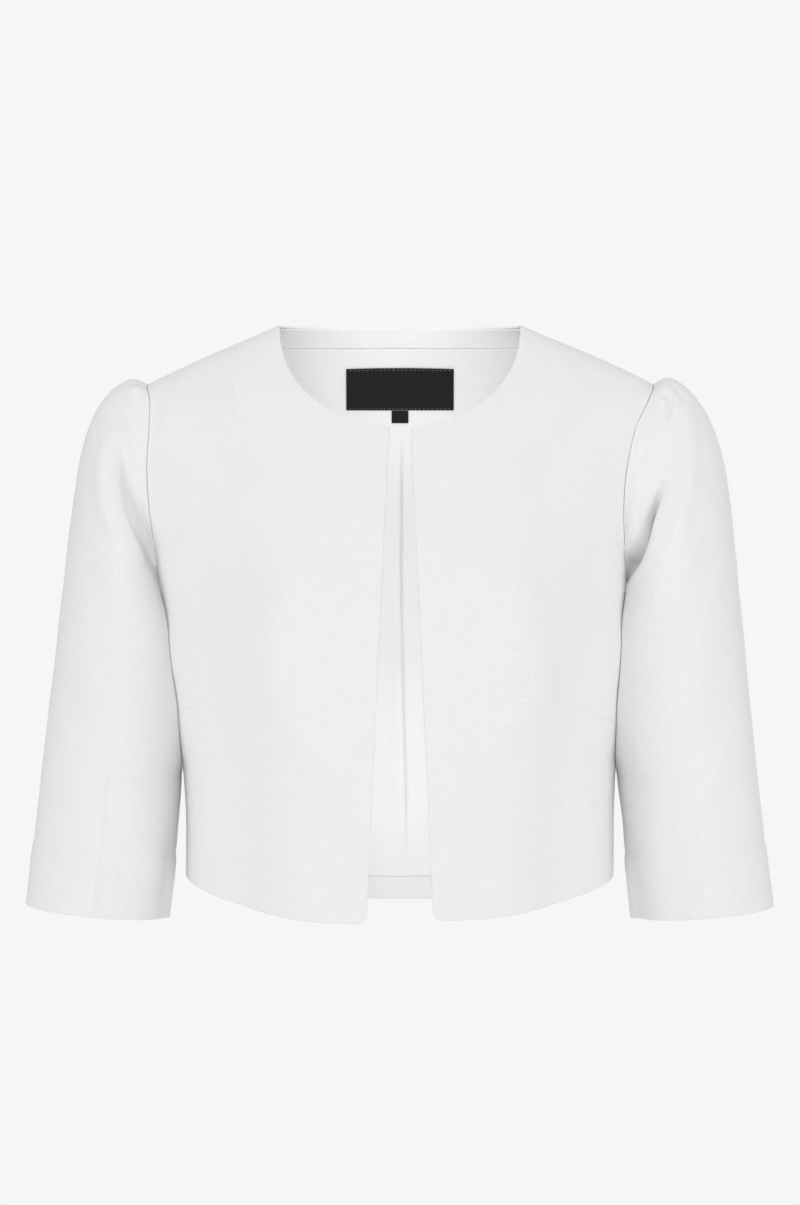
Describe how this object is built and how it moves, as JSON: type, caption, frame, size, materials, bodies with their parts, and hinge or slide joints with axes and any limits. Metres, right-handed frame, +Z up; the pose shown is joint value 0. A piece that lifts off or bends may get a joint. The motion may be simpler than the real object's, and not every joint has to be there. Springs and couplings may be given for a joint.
{
  "type": "bolero jacket",
  "caption": "Cropped collarless open-front jacket with puffed three-quarter sleeves, hollow as if worn, for a figure's upper body.",
  "frame": {"origin": "midway between the two shoulder tips, on the line of the shoulder seams, where the wearer's shoulders hold the jacket", "axes": "+Z up, -Y towards the open front, +X towards the wearer's left sleeve"},
  "size_m": [0.5462, 0.2258, 0.4373],
  "materials": {
    "jacquard": "white tone-on-tone jacquard, soft sheen",
    "satin_lining": "bluish white satin",
    "woven_label": "black woven tape, bare"
  },
  "bodies": {
    "root": {"front_left": "jacquard", "front_right": "jacquard", "back": "jacquard", "sleeve_left": "jacquard", "sleeve_right": "jacquard", "back_neck_facing": "jacquard", "back_hem_facing": "jacquard", "back_lining": "satin_lining", "neck_label": "woven_label", "size_tab": "woven_label"}
  },
  "joints": []
}
